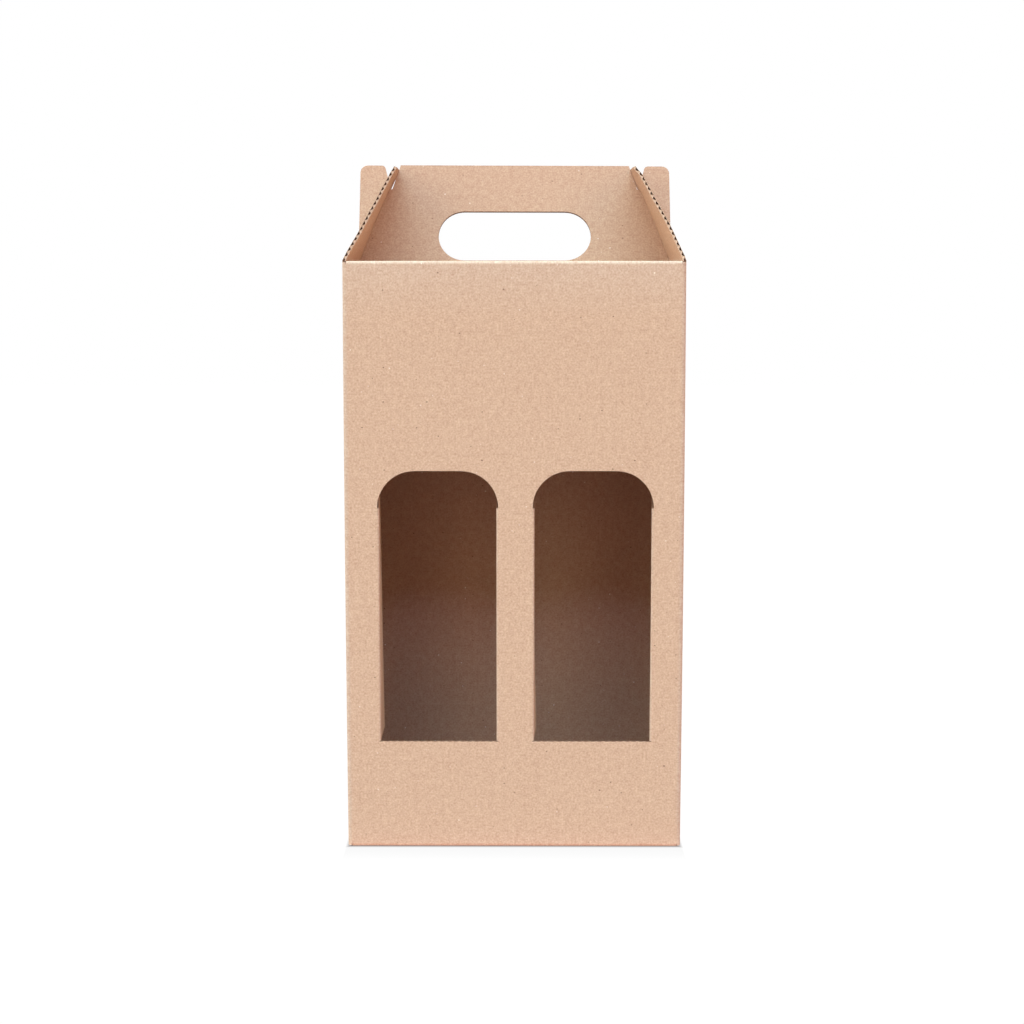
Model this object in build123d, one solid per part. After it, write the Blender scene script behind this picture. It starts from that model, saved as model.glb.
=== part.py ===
from build123d import *
import os
from math import cos, degrees, radians, sin, tan

# A carrier for two bottles, die-cut from one sheet of corrugated board and folded up.
# Origin on the floor at the middle of the base, X to the right, Y to the back, Z up.
# All sizes are in millimetres, all angles in degrees.

# Board and folds
board = 1.6              # thickness of the board
crease_radius = 0.3      # inside radius of a right-angled fold
play = 0.25              # gap between layers that lie against each other

# Walls
width = 176.0            # across the front
depth = 88.0             # front to back
height = 307.5           # floor to the top fold
corner_relief = 1.2      # bare ends of the upright folds
glue_width = 20.0        # glue flap, from its fold
glue_taper = 9.0         # how far the glue flap's ends slope
glue_end = 4.0           # bare length of the fold above and below the glue flap

# Lid
lid_side_gap = 0.5       # between the lid and each side wall
tuck_depth = 22.0        # tuck flap, from the lid's fold
tuck_inset = 2.5         # tuck flap narrower than the lid, each side
tuck_corner = 8.0        # rounding of the tuck flap's corners

# Snap-lock bottom
ledge = 4.0              # flat strip on the floor under each wall
climb = 18.0             # length over which a flap rises to its own layer
front_flap = 52.0        # reach of the front flap from the front wall
tongue_width = 60.0
tongue_rise = 12.0       # sloping part of the tongue
tongue_reach = 12.0      # part of the tongue that lies on the back flap
side_flap = 52.0         # reach of each side flap from its wall
back_flap = 50.0         # reach of the back flap from the back wall
notch_side_gap = 3.0     # beside the tongue, in the back flap's notch
flap_corner = 4.0        # rounding of the free corners of the bottom flaps

# Windows, each cut down its middle into two flaps that fold inward on the straight sides
window_margin = 16.45    # board beside the pair, before it is moved over
window_height = 143.0
window_bottom = 56.8     # floor to the windows' lower edge
window_shift = 0.6       # the pair sits this far right of the middle
post_width = 17.7        # board left standing between the windows
arch_radius = 19.3
fold_angles = (92.0, 90.0, 90.0, 94.0)   # how far each flap is folded in, left to right

# Top gussets, which lean in over the lid
gusset_lean = 20.5       # from the vertical
gusset_tip_back = 69.5   # the free front corner, back from the front wall
gusset_tip_rise = 56.5   # the free front corner, up the slope
gusset_top_slope = 2.8   # the top edge climbs to the back
hook_width = 7.0         # hook behind the handle panel
hook_drop = 6.0          # how far the hook reaches down behind the panel
hook_corner = 2.5
notch_clear = 4.8        # the hook's tab passes this far above the foot of the panel's notch

# Handle panel, which leans back and stands in the gussets' hooks
handle_lean = 20.0       # from the vertical
handle_rise = 60.0       # up its own slope
handle_inset = 0.4       # narrower than the walls, each side
ear_drop = 0.2           # ears lower than the panel's top edge
ear_width = 13.8         # along the top edge
ear_corner = 4.2         # outer top corners
ear_inner_corner = 2.4   # top corners beside the notches
notch_width = 9.0        # at the top edge
notch_foot_inset = 17.7  # middle of the notch's round end, from the panel's side edge
notch_level = 46.2       # the notch's round end, up the slope
notch_radius = 0.9
hand_hole_length = 85.6
hand_hole_height = 29.4
hand_hole_level = 17.3   # middle of the hand hole, up the slope

# Values that follow from these
half_board = board / 2
mid_radius = crease_radius + half_board
fold_size = crease_radius + board       # outside radius of a right-angled fold
layer = board + play                    # from one bottom layer to the next
half_width = width / 2
half_depth = depth / 2
front_mid = -half_depth + half_board
back_mid = half_depth - half_board
side_mid = half_width - half_board
glue_mid = half_width - board - half_board
back_wall_right = half_width - board - fold_size
window_width = half_width - post_width / 2 - window_margin
panel_half = half_width - handle_inset
notch_top_outer = panel_half - ear_width
notch_top_inner = notch_top_outer - notch_width
notch_foot = panel_half - notch_foot_inset
lean_in = radians(gusset_lean)
lean_back = radians(handle_lean)


def strip(points, radii, plane, low, high):
    """Board along a folded line in a plane, drawn out along the plane's normal."""
    line = FilletPolyline(*points, radius=radii)
    profile = plane.offset(low) * trace(line, board)
    return extrude(profile, amount=high - low, dir=plane.z_dir)


def prism(points, plane, low, high):
    """A straight-sided block over an outline in a plane."""
    face = plane.offset(low) * make_face(Polyline(*points, close=True))
    return extrude(face, amount=high - low, dir=plane.z_dir)


def block(low, high):
    """A plain block between two corners."""
    size = [b - a for a, b in zip(low, high)]
    middle = [(a + b) / 2 for a, b in zip(low, high)]
    return Pos(*middle) * Box(*size)


# The upright walls

def wall_ring():
    """The four walls round their corner folds, open at the back right corner."""
    points = [
        (side_mid, half_depth - play),
        (side_mid, front_mid),
        (-side_mid, front_mid),
        (-side_mid, back_mid),
        (back_wall_right, back_mid),
    ]
    return strip(points, [mid_radius] * 3, Plane.XY, fold_size, height - fold_size)


def fold_ends():
    """The upright folds' ends, which stand a little past the straight part of the walls."""
    across = half_width - fold_size
    along = half_depth - fold_size
    quarter = Pos(fold_size / 2, fold_size / 2) * Rectangle(fold_size, fold_size)
    quarter = quarter & (Circle(fold_size) - Circle(crease_radius))
    reach = fold_size - corner_relief
    ends = []
    for x, y, turn in ((across, -along, 270), (-across, -along, 180), (-across, along, 90)):
        for low in (corner_relief, height - fold_size):
            ends.append(extrude(Pos(x, y, low) * Rot(0, 0, turn) * quarter, amount=reach, dir=(0, 0, 1)))
    return ends


def glue_flap():
    """The flap on the back wall's end, glued inside the right wall."""
    points = [
        (back_wall_right - fold_size, back_mid),
        (glue_mid, back_mid),
        (glue_mid, half_depth - fold_size - glue_width),
    ]
    flap = strip(points, [mid_radius], Plane.XY, fold_size, height - fold_size)
    free_edge = half_depth - fold_size - glue_width
    outline = [
        (half_depth, fold_size),
        (half_depth, height - fold_size),
        (half_depth - fold_size, height - glue_end),
        (free_edge - 1, height - glue_end - glue_taper),
        (free_edge - 1, glue_end + glue_taper),
        (half_depth - fold_size, glue_end),
    ]
    return flap & prism(outline, Plane.YZ, -half_width, half_width)


def wall_tops():
    """The flat wall tops between the corner folds, up to the gussets' and handle's folds."""
    low = height - fold_size
    corner = half_depth - fold_size
    left = block((-half_width, -corner, low), (-half_width + board, corner, height))
    right = block((half_width - board, -corner, low), (half_width, half_depth - play, height))
    back = block((-half_width + fold_size, half_depth - board, low), (back_wall_right, half_depth, height))
    return left + right + back


def window_outline(middle):
    """One arched window on the front wall's plane, seen from the front."""
    half = window_width / 2
    corners = [
        (middle - half, window_bottom),
        (middle + half, window_bottom),
        (middle + half, window_bottom + window_height),
        (middle - half, window_bottom + window_height),
    ]
    face = make_face(Polyline(*corners, close=True))
    return fillet(face.vertices().sort_by(Axis.Y)[-2:], arch_radius)


def window_middles():
    """The two windows' middles, left and right."""
    offset = (post_width + window_width) / 2
    return window_shift - offset, window_shift + offset


def window_cutters():
    """The two arched windows, through the front wall."""
    cutters = []
    for middle in window_middles():
        face = Plane.XZ.offset(half_depth + 1) * window_outline(middle)
        cutters.append(extrude(face, amount=board + 2, dir=(0, 1, 0)))
    return cutters


# Lid and bottom

def lid():
    """The lid folded back from the front wall, with its tuck flap down inside the back wall."""
    top = height - half_board
    tuck_mid = half_depth - board - play - half_board
    points = [
        (front_mid, height - fold_size - 1),
        (front_mid, top),
        (tuck_mid, top),
        (tuck_mid, top - tuck_depth),
    ]
    reach = half_width - board - lid_side_gap
    folded = strip(points, [mid_radius] * 2, Plane.YZ, -reach, reach)
    half_tuck = reach - tuck_inset
    tuck_face = RectangleRounded(2 * half_tuck, 2 * tuck_depth, tuck_corner)
    keep = Plane.XZ * Pos(0, top) * tuck_face
    keep = extrude(keep, amount=-half_depth, dir=(0, -1, 0))
    lower = block((-half_width, tuck_mid - board, 0), (half_width, half_depth, height - fold_size))
    return (folded - lower) + (folded & keep & lower)


def climbing_path(wall, reach, level):
    """Folded line of a bottom flap that rises from its wall's foot to its own layer."""
    low = half_board
    return [
        (wall, fold_size + 1),
        (wall, low),
        (wall - ledge, low),
        (wall - ledge - climb, low + level * layer),
        (wall - reach, low + level * layer),
    ]


def mitred_plan(fold_half, wall, reach, gap, taper):
    """Plan of a bottom flap across its wall: mitred at the corners, then a tapered free end."""
    run = ledge + climb - fold_size
    knee = wall - fold_size - run
    half = [
        (fold_half - gap, wall),
        (fold_half - gap, wall - fold_size),
        (fold_half - run - gap, knee),
        (fold_half - run - gap - taper, wall - reach),
    ]
    return half + [(-a, b) for a, b in reversed(half)]


def swapped(points):
    """The same outline with its two coordinates exchanged."""
    return [(b, a) for a, b in points]


def front_bottom():
    """The outermost bottom flap, whose tongue climbs through the back flap's notch."""
    reach = half_width - fold_size
    flat_end = front_mid + front_flap
    line = [(front_mid, fold_size + 1), (front_mid, half_board), (flat_end, half_board)]
    plan = [(a, -b) for a, b in mitred_plan(reach, half_depth, front_flap, play, 0)]
    flat = strip(line, [mid_radius], Plane.YZ, -reach, reach) & prism(plan, Plane.XY, 0, height)
    top = half_board + 3 * layer
    climb_line = [
        (flat_end - tongue_rise, half_board),
        (flat_end - half_board, half_board),
        (flat_end - half_board + tongue_rise, top),
        (flat_end - half_board + tongue_rise + tongue_reach, top),
    ]
    half = tongue_width / 2
    return flat + strip(climb_line, [board, board], Plane.YZ, -half, half)


def side_bottom():
    """The right side flap, in the middle layer and clear of the tongue."""
    fold_half = half_depth - fold_size
    path = climbing_path(side_mid, side_flap, 1)
    flap = strip(path, [mid_radius, board, board], Plane.XZ, -fold_half, fold_half)
    plan = swapped(mitred_plan(fold_half, half_width, side_flap, 0, flap_corner))
    return flap & prism(plan, Plane.XY, 0, height)


def back_bottom():
    """The innermost bottom flap, notched for the tongue."""
    fold_half = half_width - fold_size - board
    path = climbing_path(back_mid, back_flap, 2)
    flap = strip(path, [mid_radius, board, board], Plane.YZ, -fold_half, fold_half)
    plan = mitred_plan(fold_half, half_depth, back_flap, play, flap_corner)
    flap = flap & prism(plan, Plane.XY, 0, height)
    half = tongue_width / 2 + notch_side_gap
    notch_end = front_mid + front_flap + tongue_rise + play
    return flap - block((-half, -half_depth, 0), (half, notch_end, height))


# Gussets and handle panel

def panel_back(rise):
    """Y of the handle panel's rear face at a rise above the top fold."""
    return half_depth + rise * tan(lean_back)


def panel_front(rise):
    """Y of the handle panel's front face at a rise above the top fold."""
    return panel_back(rise) - board / cos(lean_back)


def gusset_outline():
    """A gusset in its own plane: Y along its fold, then distance up its slope."""
    up = cos(lean_in)
    gap = play / cos(lean_back)

    def before_panel(rise):
        return panel_front(rise * up) - gap

    def behind_panel(rise):
        return panel_back(rise * up) + gap

    tip_back = -half_depth + gusset_tip_back
    tab_low = (notch_level + notch_clear) * cos(lean_back) / up
    hook_low = tab_low - hook_drop
    hook_back = behind_panel(gusset_tip_rise) + hook_width
    hook_top = gusset_tip_rise + (hook_back - tip_back) * tan(radians(gusset_top_slope))
    hook_foot = behind_panel(hook_low) + hook_width
    corners = [
        (-half_depth + fold_size, 0),
        (tip_back, gusset_tip_rise),
        (hook_back, hook_top),
        (hook_foot, hook_low),
        (behind_panel(hook_low), hook_low),
        (behind_panel(tab_low), tab_low),
        (before_panel(tab_low), tab_low),
        (before_panel(0), 0),
    ]
    face = make_face(Polyline(*corners, close=True))
    rounded = [v for v in face.vertices() if v.X > hook_foot - hook_width / 2 and v.Y > 0]
    rounded = [v for v in rounded if v.X > behind_panel(v.Y) + hook_width / 2]
    return fillet(rounded, hook_corner)


def gusset():
    """The right gusset, leaning in from its wall, with the opened outside of its fold."""
    outward = Vector(cos(lean_in), 0, sin(lean_in))
    inner = half_width - board
    slope = Plane(origin=(inner, 0, height), x_dir=(0, 1, 0), z_dir=outward)
    plate = extrude(slope * gusset_outline(), amount=board, dir=outward)
    start = -half_depth + fold_size
    end = panel_front(0) - play / cos(lean_back)
    sector = Plane.XZ.offset(-start) * Pos(inner, height) * fold_wedge(lean_in)
    return plate + extrude(sector, amount=end - start, dir=(0, 1, 0))


def fold_wedge(angle):
    """The opened outside of a fold: a sector of the board's thickness."""
    arc = CenterArc((0, 0), board, 0, degrees(angle))
    return make_face([arc, Line((0, 0), arc @ 0), Line(arc @ 1, (0, 0))])


def notch_cutter(sign):
    """One notch in the handle panel's top edge, ending in a small round hole."""
    outer_foot = notch_foot + notch_radius
    inner_foot = notch_foot - notch_radius
    over = handle_rise + 5
    corners = [
        (sign * inner_foot, notch_level),
        (sign * notch_top_inner, handle_rise),
        (sign * notch_top_inner, over),
        (sign * notch_top_outer, over),
        (sign * notch_top_outer, handle_rise - ear_drop),
        (sign * (outer_foot + half_board), notch_level + notch_clear),
        (sign * outer_foot, notch_level),
    ]
    cut = make_face(Polyline(*corners, close=True))
    return cut + Pos(sign * notch_foot, notch_level) * Circle(notch_radius)


def handle_outline():
    """The handle panel in its own plane, with hand hole, notches and ears."""
    ear_top = handle_rise - ear_drop
    ears = make_face(Polyline(
        (-panel_half, 1), (panel_half, 1), (panel_half, ear_top), (-panel_half, ear_top), close=True,
    ))
    ears = fillet(ears.vertices().sort_by(Axis.Y)[-2:], ear_corner)
    middle = make_face(Polyline(
        (-half_width + fold_size, 0), (back_wall_right, 0),
        (back_wall_right, 2), (notch_foot, 2), (notch_foot, handle_rise),
        (-notch_foot, handle_rise), (-notch_foot, 2), (-half_width + fold_size, 2), close=True,
    ))
    face = ears + middle - notch_cutter(1) - notch_cutter(-1)
    tips = [
        v for v in face.vertices()
        if abs(v.Y - ear_top) < 0.01 and abs(abs(v.X) - notch_top_outer) < 0.01
    ]
    face = fillet(tips, ear_inner_corner)
    hole = Pos(0, hand_hole_level) * SlotOverall(hand_hole_length, hand_hole_height)
    return face - hole


def handle_panel():
    """The leaning handle panel on the back wall, with the fold's wedge."""
    backward = Vector(0, cos(lean_back), -sin(lean_back))
    slope = Plane(origin=(0, half_depth, height), x_dir=(1, 0, 0), z_dir=-backward)
    plate = extrude(slope * handle_outline(), amount=board, dir=-backward)
    left = -half_width + fold_size
    turn = Pos(half_depth, height) * Rot(0, 0, 180 - handle_lean)
    sector = Plane.YZ.offset(left) * turn * fold_wedge(lean_back)
    return plate + extrude(sector, amount=back_wall_right - left, dir=(1, 0, 0))


def folded_carton():
    """The whole folded sheet apart from the window flaps."""
    carton = wall_ring() + glue_flap() + wall_tops()
    for end in fold_ends():
        carton = carton + end
    for cutter in window_cutters():
        carton = carton - cutter
    carton = carton + lid() + front_bottom() + back_bottom() + handle_panel()
    for piece in (side_bottom(), gusset()):
        carton = carton + piece + mirror(piece, about=Plane.YZ)
    return carton


# Window flaps

def window_flap(middle, side, angle):
    """Half of a window's board, folded in on the crease at its outer (side -1) or right edge."""
    half = window_width / 2
    face = window_outline(middle)
    trimmed = Pos(middle + side * (half - play) / 2, window_bottom + window_height / 2) * Rectangle(
        half - 3 * play / 2, window_height - 2 * play
    )
    face = face & trimmed
    plate = extrude(Plane.XZ.offset(half_depth) * face, amount=board, dir=(0, 1, 0))
    crease = (middle + side * (half - play), -half_depth + board, 0)
    hinge = Axis(crease, (0, 0, -side))
    return plate.rotate(hinge, angle)


def window_flaps():
    """The four flaps by name, from left to right."""
    left, right = window_middles()
    names = [
        ("left_window_outer_flap", left, -1),
        ("left_window_inner_flap", left, 1),
        ("right_window_inner_flap", right, -1),
        ("right_window_outer_flap", right, 1),
    ]
    return {
        name: window_flap(middle, side, angle)
        for (name, middle, side), angle in zip(names, fold_angles)
    }


nodes = {"folded_carton": folded_carton(), **window_flaps()}
os.makedirs("parts", exist_ok=True)
for name, solid in nodes.items():
    export_step(solid, f"parts/{name}.step")
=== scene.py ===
# Finish, cut edges, camera and light of a folded two-bottle carrier in corrugated board.
# Lengths are in millimetres in this file, and become metres where a mesh is made.
from math import cos, pi, radians, sin, tan

import bpy
import numpy as np
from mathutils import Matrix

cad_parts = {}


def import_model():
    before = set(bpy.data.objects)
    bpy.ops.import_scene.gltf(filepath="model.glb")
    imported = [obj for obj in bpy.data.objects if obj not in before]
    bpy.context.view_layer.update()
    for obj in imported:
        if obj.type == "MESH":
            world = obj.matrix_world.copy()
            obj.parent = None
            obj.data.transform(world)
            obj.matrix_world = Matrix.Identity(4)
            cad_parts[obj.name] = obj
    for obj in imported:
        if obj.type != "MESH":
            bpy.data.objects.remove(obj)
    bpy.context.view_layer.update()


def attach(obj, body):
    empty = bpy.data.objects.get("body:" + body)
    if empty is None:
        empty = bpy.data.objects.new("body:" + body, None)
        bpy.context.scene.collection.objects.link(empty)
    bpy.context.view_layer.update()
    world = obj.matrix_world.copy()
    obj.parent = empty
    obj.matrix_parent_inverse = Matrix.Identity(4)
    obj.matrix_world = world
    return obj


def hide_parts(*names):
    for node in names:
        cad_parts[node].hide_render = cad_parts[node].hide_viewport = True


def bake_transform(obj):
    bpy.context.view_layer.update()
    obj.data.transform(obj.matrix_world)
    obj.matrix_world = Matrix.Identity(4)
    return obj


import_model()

MM = 0.001

# Board
BOARD = 1.6
HALF = BOARD / 2
LINER = 0.17             # each of the two flat papers
MEDIUM = 0.15            # the wavy paper between them
PITCH = 3.6              # from one flute to the next
STEPS = 6                # mesh columns to a flute
WASHBOARD = 0.011        # how far the flutes show through the liners
POCKET = 2.5             # how deep the open flutes are modelled at a cut edge
POCKET_SHARE = 0.4       # and at most this share of the board's length there
POCKET_ROOM = 0.75       # or of the way to the next fold
POCKET_LEAST = 0.05
CRUSHED = 0.06           # share of a pocket's depth where the die has pressed it shut on the inner side
EDGE_RECESS = 0.5        # how far the wavy paper stands back in a cut along the flutes
PLAY = 0.25
FOLD = 1.9               # outside radius of a right-angled fold
MID_RADIUS = FOLD - HALF
LAYER = BOARD + PLAY
RUB_AND_HIGHLIGHT_REACH = 1.1          # how far from a fold's middle the paper is rubbed and a highlight painted
RUB_AND_HIGHLIGHT_INSET = 1.0          # the front's upright edges are rubbed, with a painted highlight, this far in

# Mesh
ARC_STEPS = 8            # to a right-angled fold
CORNER_STEPS = 5         # to a small rounded corner
ARCH_STEPS = 12          # to a corner of a window or of the hand hole
NOTCH_STEPS = 8
UPRIGHT_COUNT = 12       # rows up the walls
GUSSET_COUNT = 24        # rows up the gussets
GUSSET_SPAN = (0.015, 1.05)    # shares of the gussets' rise between which those rows lie
CREASE_COUNT = 14        # rows up a window's crease
CLOSE = 1e-4             # places nearer than this are the same
ROUNDING = 1e-5
COLUMN_GAP = 0.2         # no mesh column stands nearer to a corner than this share of a step
WELD_GRID = 1e4          # cells to a millimetre in which points are joined
WELD_SHIFT = 0.37        # keeps round sizes off the cells' edges
SHARP_ANGLE = radians(38)

# Walls
WIDTH = 176.0
DEPTH = 88.0
HEIGHT = 307.5
HALF_WIDTH = WIDTH / 2
HALF_DEPTH = DEPTH / 2
FRONT_MID = -HALF_DEPTH + HALF
BACK_MID = HALF_DEPTH - HALF
SIDE_MID = HALF_WIDTH - HALF
GLUE_MID = SIDE_MID - BOARD
GLUE_WIDTH = 20.0
GLUE_TAPER = 9.0
GLUE_END = 4.0
SHOULDER = HEIGHT - FOLD  # the top folds begin to turn here
CORNER_RELIEF = 0.6      # bare ends of the upright folds
SPLIT = 12.0             # the walls' mesh and the bottom's meet here
SIDE_BOW = 0.3           # the side walls stand out this much at mid height

# Lid
LID_SIDE_GAP = 0.5
TUCK_DEPTH = 22.0
TUCK_INSET = 2.5
TUCK_CORNER = 8.0
TUCK_STEP = 1.0          # the tuck flap's sides turn in over this length

# Bottom
LEDGE = 4.0
CLIMB = 18.0
FRONT_FLAP = 52.0
TONGUE_WIDTH = 60.0
TONGUE_RISE = 12.0
TONGUE_REACH = 12.0
SIDE_FLAP = 52.0
BACK_FLAP = 50.0
NOTCH_SIDE_GAP = 3.0
FLAP_CORNER = 4.0

# Windows
WINDOW_MARGIN = 16.45
WINDOW_HEIGHT = 143.0
WINDOW_BOTTOM = 56.8
WINDOW_SHIFT = 0.6
POST_WIDTH = 17.7
WINDOW_WIDTH = HALF_WIDTH - POST_WIDTH / 2 - WINDOW_MARGIN
WINDOW_OFFSET = (POST_WIDTH + WINDOW_WIDTH) / 2
WINDOW_MIDDLES = (WINDOW_SHIFT - WINDOW_OFFSET, WINDOW_SHIFT + WINDOW_OFFSET)
ARCH_RADIUS = 19.3
FOLD_ANGLES = (92.0, 90.0, 90.0, 94.0)
FLAP_TWISTS = (2.8, 1.2, 7.0, 0.2)    # each flap is open this much further at its top than its foot
FLAP_SINK = 1.1          # the crushed crease lets a flap sink this far behind the wall's faces
FLAP_ROOT = 0.8          # a flap's flat board starts this far from its crease
CREASE_INSIDE = 0.25     # radius of the paper inside a crease
CREASE_RUB_AND_HIGHLIGHT_END = 1.2     # past this share of a crease's turn its rub and painted highlight fade no further
CREASE_RUB_AND_HIGHLIGHT_FALL = 2

# Gussets
GUSSET_LEAN = radians(20.5)
TIP_BACK = 69.5
TIP_RISE = 56.5
TOP_SLOPE = 2.8
HOOK_WIDTH = 7.0
HOOK_DROP = 6.0
HOOK_CORNER = 2.5
NOTCH_CLEAR = 4.8
GUSSET_LIP = 0.01        # a gusset's outline leaves the wall this far above its fold
GUSSET_SPARE = 10.0      # the leaning line runs on this far past the tip

# How much further in than flat each gusset stands, at stations up its slope
STATIONS = (0.0, 0.05, 0.35, 0.72, 0.9, 1.0)
LEFT_FREE_EDGE = (0.0, 0.0, 0.9, 1.5, 1.8, 2.2)
LEFT_HOOKED_EDGE = (0.0, -1.3, -1.5, -1.0, -0.5, 0.2)
RIGHT_FREE_EDGE = (0.0, -0.35, -0.8, 0.1, 0.5, 1.9)
RIGHT_HOOKED_EDGE = (0.0, -1.3, -1.4, -0.9, 0.3, 0.3)

# Handle panel
HANDLE_LEAN = radians(20.0)
HANDLE_RISE = 60.0
HANDLE_INSET = 0.4
PANEL_HALF = HALF_WIDTH - HANDLE_INSET
EAR_DROP = 0.2
EAR_WIDTH = 13.8
EAR_CORNER = 4.2
EAR_INNER_CORNER = 2.4
EAR_FOOT = 1.0           # the ears start this far above the fold
NOTCH_WIDTH = 9.0
NOTCH_TOP_OUTER = PANEL_HALF - EAR_WIDTH
NOTCH_TOP_INNER = NOTCH_TOP_OUTER - NOTCH_WIDTH
NOTCH_FOOT_INSET = 17.7
NOTCH_FOOT = PANEL_HALF - NOTCH_FOOT_INSET
NOTCH_LEVEL = 46.2
NOTCH_RADIUS = 0.9
HOLE_LENGTH = 85.6
HOLE_HEIGHT = 29.4
HOLE_LEVEL = 17.3
HOLE_FLAT = 0.001        # half the flat left between the hole's end corners
HANDLE_SPARE = 1.0       # the leaning line runs on this far past the top
SLANT = 0.33             # the panel's right end stands this much lower than its middle

# Places across the flat blank, from the middle of the front wall
FLAT_FRONT = HALF_WIDTH - FOLD
FLAT_SIDE = HALF_DEPTH - FOLD
CORNER_ARC = MID_RADIUS * pi / 2
RIGHT_WALL = FLAT_FRONT + CORNER_ARC + FLAT_SIDE
LEFT_WALL = -RIGHT_WALL
BACK_WALL = LEFT_WALL - FLAT_SIDE - CORNER_ARC - FLAT_FRONT
BACK_RIGHT = GLUE_MID - MID_RADIUS
GLUE_FOLD = BACK_WALL - BACK_RIGHT - CORNER_ARC


def arc(middle, radius, start, end, steps):
    """Points along an arc, from one angle in degrees to another."""
    turns = [radians(start + (end - start) * k / steps) for k in range(steps + 1)]
    return [(middle[0] + radius * cos(t), middle[1] + radius * sin(t)) for t in turns]


def mirrored(points):
    """The same outline seen from its other side, in the opposite order."""
    return [(-u, v) for u, v in reversed(points)]


def moved(points, across):
    """The outline shifted across the blank."""
    return [(u + across, v) for u, v in points]


# Folded lines, each in the plane of a wall's outward and upward directions

def folded_line(points, radii, start, sign):
    """Keys of a folded line: blank distance, outward, upward, and the outer face's direction."""
    points = [np.array(p, float) for p in points]
    here = points[0]
    travelled = 0.0
    ahead = points[1] - points[0]
    heading = np.arctan2(ahead[1], ahead[0])
    keys = [(travelled, *here, heading)]
    for corner, after, radius in zip(points[1:], points[2:], radii):
        ahead = after - corner
        turn = np.arctan2(ahead[1], ahead[0]) - heading
        turn = (turn + pi) % (2 * pi) - pi
        trim = radius * tan(abs(turn) / 2)
        begin = corner - trim * np.array([cos(heading), sin(heading)])
        travelled += np.linalg.norm(begin - here)
        side = np.sign(turn) * radius
        centre = begin + side * np.array([-sin(heading), cos(heading)])
        steps = max(2, round(ARC_STEPS * abs(turn) / (pi / 2)))
        for k in range(steps + 1):
            angle = heading + turn * k / steps
            here = centre + side * np.array([sin(angle), -cos(angle)])
            keys.append((travelled + radius * abs(turn) * k / steps, *here, angle))
        travelled += radius * abs(turn)
        heading += turn
    last = points[-1]
    keys.append((travelled + np.linalg.norm(last - here), *last, heading))
    keys = np.array(keys)
    out = np.column_stack([
        start + sign * keys[:, 0], keys[:, 1], keys[:, 2],
        sign * np.sin(keys[:, 3]), -sign * np.cos(keys[:, 3]),
    ])
    return out if sign > 0 else out[::-1]


def leaning_line(lean, reach):
    """A wall whose top panel turns by an angle about one of its faces, inward if positive."""
    corner = HEIGHT + HALF * tan(abs(lean) / 2)
    tip = (-reach * sin(lean), corner + reach * cos(lean))
    return folded_line([(0, SPLIT), (0, corner), tip], [HALF], SPLIT, 1)


def lid_line():
    """The front wall, the lid and the tuck flap."""
    top = HEIGHT - HALF
    back = -(HALF_DEPTH - BOARD - PLAY - HALF - FRONT_MID)
    points = [(0, SPLIT), (0, top), (back, top), (back, top - TUCK_DEPTH)]
    return folded_line(points, [MID_RADIUS] * 2, SPLIT, 1)


def climbing_line(start, run, reach, level):
    """A bottom flap that climbs to its own layer, from the split in its wall downward."""
    high = HALF + level * LAYER
    points = [(0, SPLIT), (0, HALF), (-start, HALF), (-start - run, high), (-reach, high)]
    return folded_line(points, [MID_RADIUS, BOARD, BOARD], SPLIT, -1)


UPRIGHT = folded_line([(0, 0), (0, HEIGHT)], [], 0.0, 1)


# Plan of the walls and corners

def along_wall(middle, point, facing):
    """Places and outer directions in plan along a flat wall."""
    normal = np.array([cos(facing), sin(facing)])
    tangent = np.array([-normal[1], normal[0]])

    def base(u):
        places = np.array(point) + np.multiply.outer(u - middle, tangent)
        return places, np.broadcast_to(normal, places.shape)
    return base


def round_corner(start, centre, facing):
    """Places and outer directions in plan round an upright fold."""
    def base(u):
        angle = facing + (u - start) / MID_RADIUS
        normal = np.stack([np.cos(angle), np.sin(angle)], axis=-1)
        return np.array(centre) + MID_RADIUS * normal, normal
    return base


FRONT_BASE = along_wall(0.0, (0.0, FRONT_MID), -pi / 2)
RIGHT_BASE = along_wall(RIGHT_WALL, (SIDE_MID, 0.0), 0.0)
LEFT_BASE = along_wall(LEFT_WALL, (-SIDE_MID, 0.0), -pi)
BACK_BASE = along_wall(BACK_WALL, (0.0, BACK_MID), pi / 2)
GLUE_BASE = along_wall(GLUE_FOLD, (GLUE_MID, BACK_MID - MID_RADIUS), 0.0)


def wave(u):
    """Middle of the wavy paper between the liners."""
    return (HALF - LINER - MEDIUM / 2) * np.cos(2 * pi * u / PITCH)


def level_heights(u):
    """Heights of the six paper surfaces, from the outer face to the inner one."""
    ripple = WASHBOARD * np.cos(2 * pi * u / PITCH)
    top = np.full_like(u, HALF - LINER)
    middle = wave(u)
    return [
        HALF + ripple - WASHBOARD,
        top,
        np.minimum(middle + MEDIUM / 2, top),
        np.maximum(middle - MEDIUM / 2, -top),
        -top,
        -HALF + ripple + WASHBOARD,
    ]


OUTER, INNER, CUT, FLUTE_SHADE = range(4)    # which paper a face shows; the last is painted shade inside open flutes


class Board:
    """Collects the faces of one piece of corrugated board."""

    def __init__(self):
        self.points = []
        self.maps = []
        self.rubs_and_highlights = []
        self.quads = []
        self.marks = []
        self.count = 0

    def grid(self, places, u, v, rub_and_highlight, mark, flip=False):
        """Quads over a grid of places, with its blank coordinates."""
        rows, columns = places.shape[:2]
        index = self.count + np.arange(rows * columns).reshape(rows, columns)
        a, b = index[:-1, :-1], index[:-1, 1:]
        c, d = index[1:, 1:], index[1:, :-1]
        quads = np.stack([a, d, c, b] if flip else [a, b, c, d], axis=-1).reshape(-1, 4)
        self.points.append(places.reshape(-1, 3))
        self.maps.append(np.stack([u, v], axis=-1).reshape(-1, 2))
        self.rubs_and_highlights.append(rub_and_highlight.reshape(-1))
        self.quads.append(quads)
        self.marks.append(np.full(len(quads), mark))
        self.count += rows * columns


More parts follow.
